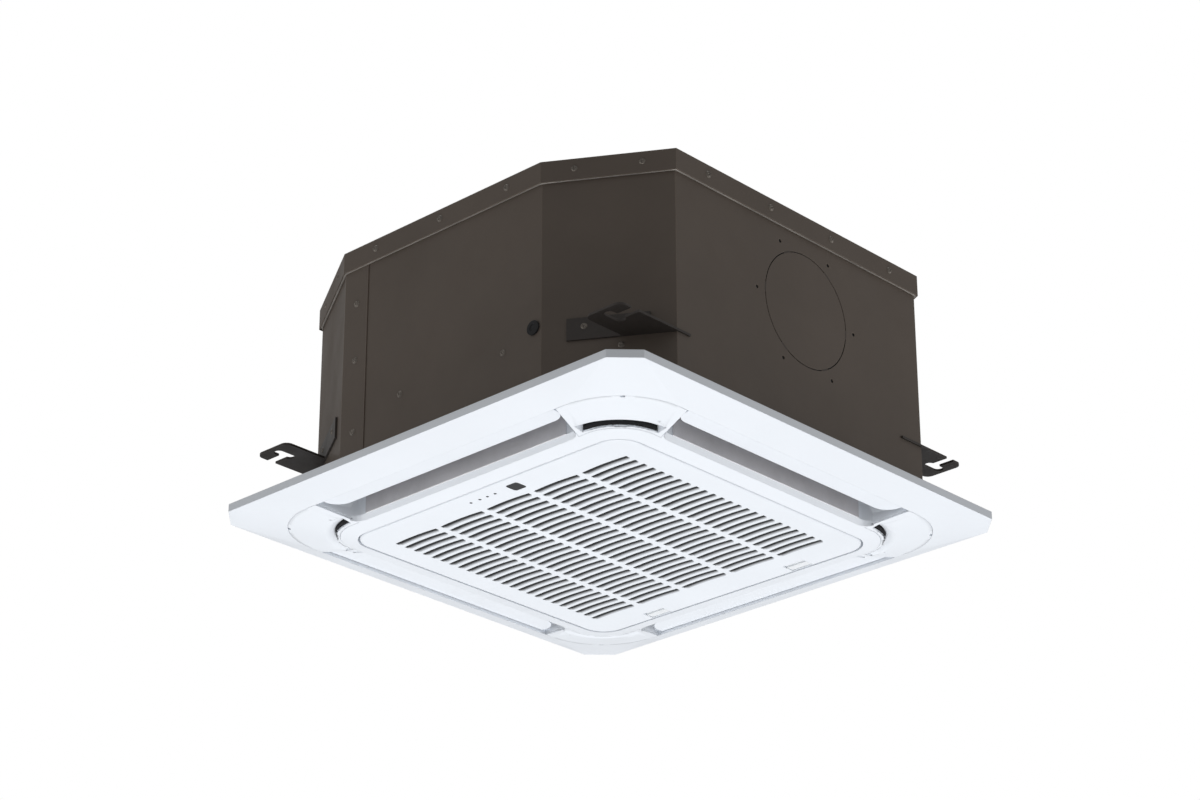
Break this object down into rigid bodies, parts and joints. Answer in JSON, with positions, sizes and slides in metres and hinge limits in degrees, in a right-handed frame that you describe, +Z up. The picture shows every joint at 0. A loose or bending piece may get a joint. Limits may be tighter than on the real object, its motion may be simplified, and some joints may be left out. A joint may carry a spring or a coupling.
{
  "type": "ceiling cassette air conditioner",
  "caption": "Ceiling-recessed air conditioner: square white panel with hinged slotted intake grille and tilting louvers around it, under a coated sheet casing with hanger brackets.",
  "frame": {"origin": "middle of the four hanger slots, on the underside of the hanger plates", "axes": "+Z up into the ceiling void; -Y faces the fresh-air knock-out; +X faces the pipes; +X also runs along the hanger slots"},
  "size_m": [0.6667, 0.647, 0.3265],
  "materials": {
    "casing_sheet": "coated steel sheet, dark brown-grey",
    "zinc_sheet": "zinc-coated steel",
    "screw_steel": "zinc-plated screw heads",
    "rubber_black": "soft matt rubber",
    "panel_white": "satin white moulded plastic",
    "louver_white": "satin white moulded plastic",
    "latch_white": "satin white moulded plastic",
    "window_dark": "smoked translucent plastic",
    "lens_dark": "clear light guide, unlit",
    "case_grey": "moulded plastic",
    "filter_mesh": "woven net in a moulded frame",
    "foam_white": "expanded foam beads",
    "foam_dark": "closed-cell foam",
    "pad_grey": "thin insulation felt",
    "fin_aluminium": "closely spaced fins",
    "copper": "copper tube",
    "brass_nut": "machined brass",
    "fan_plastic": "glass-filled plastic",
    "bell_plastic": "moulded plastic",
    "motor_coat": "black coated motor can",
    "shaft_steel": "ground steel",
    "board_green": "printed board with components",
    "terminal_white": "moulded terminal block",
    "pump_plastic": "moulded plastic",
    "hose_grey": "soft PVC hose"
  },
  "bodies": {
    "unit": {"top_pan": "casing_sheet", "side_wrap_front": "casing_sheet", "side_wrap_rear": "casing_sheet", "casing_screws": "screw_steel", "cable_grommet": "rubber_black", "pipe_plate": "zinc_sheet", "hanger_bracket_1": "zinc_sheet", "hanger_bracket_2": "zinc_sheet", "hanger_bracket_3": "zinc_sheet", "hanger_bracket_4": "zinc_sheet", "bracket_screws": "screw_steel", "corner_plates": "zinc_sheet", "panel_screws": "screw_steel", "eps_liner": "foam_white", "drain_pan": "foam_white", "bell_mouth": "bell_plastic", "coil_fins": "fin_aluminium", "coil_end_plates": "zinc_sheet", "return_bends": "copper", "refrigerant_pipes": "copper", "flare_nuts": "brass_nut", "fan_motor": "motor_coat", "motor_bushings": "rubber_black", "drain_pump": "pump_plastic", "pump_bracket": "zinc_sheet", "float_switch": "pump_plastic", "drain_hose": "hose_grey", "drain_spigot": "pump_plastic", "control_box": "zinc_sheet", "control_box_cover": "zinc_sheet", "control_board": "board_green", "terminal_block": "terminal_white", "service_screws": "screw_steel", "panel_frame": "panel_white", "corner_cover_1": "panel_white", "corner_cover_2": "panel_white", "corner_cover_3": "panel_white", "corner_cover_4": "panel_white", "corner_seals": "foam_dark", "duct_insulation": "pad_grey", "duct_seals": "foam_dark", "louver_motors": "terminal_white"},
    "grille": {"intake_grille": "panel_white", "air_filter": "filter_mesh", "receiver_window": "window_dark", "indicator_lenses": "lens_dark", "display_case": "case_grey"},
    "latch_left": {"grille_latch_left": "latch_white"},
    "latch_right": {"grille_latch_right": "latch_white"},
    "louver_front": {"louver_1": "louver_white"},
    "louver_right": {"louver_2": "louver_white"},
    "louver_back": {"louver_3": "louver_white"},
    "louver_left": {"louver_4": "louver_white"},
    "fan": {"fan_wheel": "fan_plastic", "motor_shaft": "shaft_steel", "fan_nut": "screw_steel"},
    "float": {"float_ring": "pump_plastic"}
  },
  "joints": [
    {"name": "grille_hinge", "type": "hinge", "parent": "unit", "child": "grille", "pos_m": [-0.1875, 0, -0.098], "axis": [0, 1, 0], "range_deg": [0, 90]},
    {"name": "latch_left_slide", "type": "slide", "parent": "grille", "child": "latch_left", "axis": [-1, 0, 0], "range_m": [0, 0.006], "stiffness_N_per_m": 300, "springref_m": -0.003},
    {"name": "latch_right_slide", "type": "slide", "parent": "grille", "child": "latch_right", "axis": [-1, 0, 0], "range_m": [0, 0.006], "stiffness_N_per_m": 300, "springref_m": -0.003},
    {"name": "louver_front_tilt", "type": "hinge", "parent": "unit", "child": "louver_front", "pos_m": [0, -0.28, -0.0818], "axis": [1, 0, 0], "range_deg": [-10, 45]},
    {"name": "louver_right_tilt", "type": "hinge", "parent": "unit", "child": "louver_right", "pos_m": [0.28, 0, -0.0818], "axis": [0, 1, 0], "range_deg": [-10, 45]},
    {"name": "louver_back_tilt", "type": "hinge", "parent": "unit", "child": "louver_back", "pos_m": [0, 0.28, -0.0818], "axis": [-1, 0, 0], "range_deg": [-10, 45]},
    {"name": "louver_left_tilt", "type": "hinge", "parent": "unit", "child": "louver_left", "pos_m": [-0.28, 0, -0.0818], "axis": [0, -1, 0], "range_deg": [-10, 45]},
    {"name": "fan_spin", "type": "hinge", "parent": "unit", "child": "fan", "pos_m": [0, 0, 0.12], "axis": [0, 0, 1], "continuous": true},
    {"name": "float_rise", "type": "slide", "parent": "unit", "child": "float", "axis": [0, 0, 1], "range_m": [0, 0.008]}
  ]
}
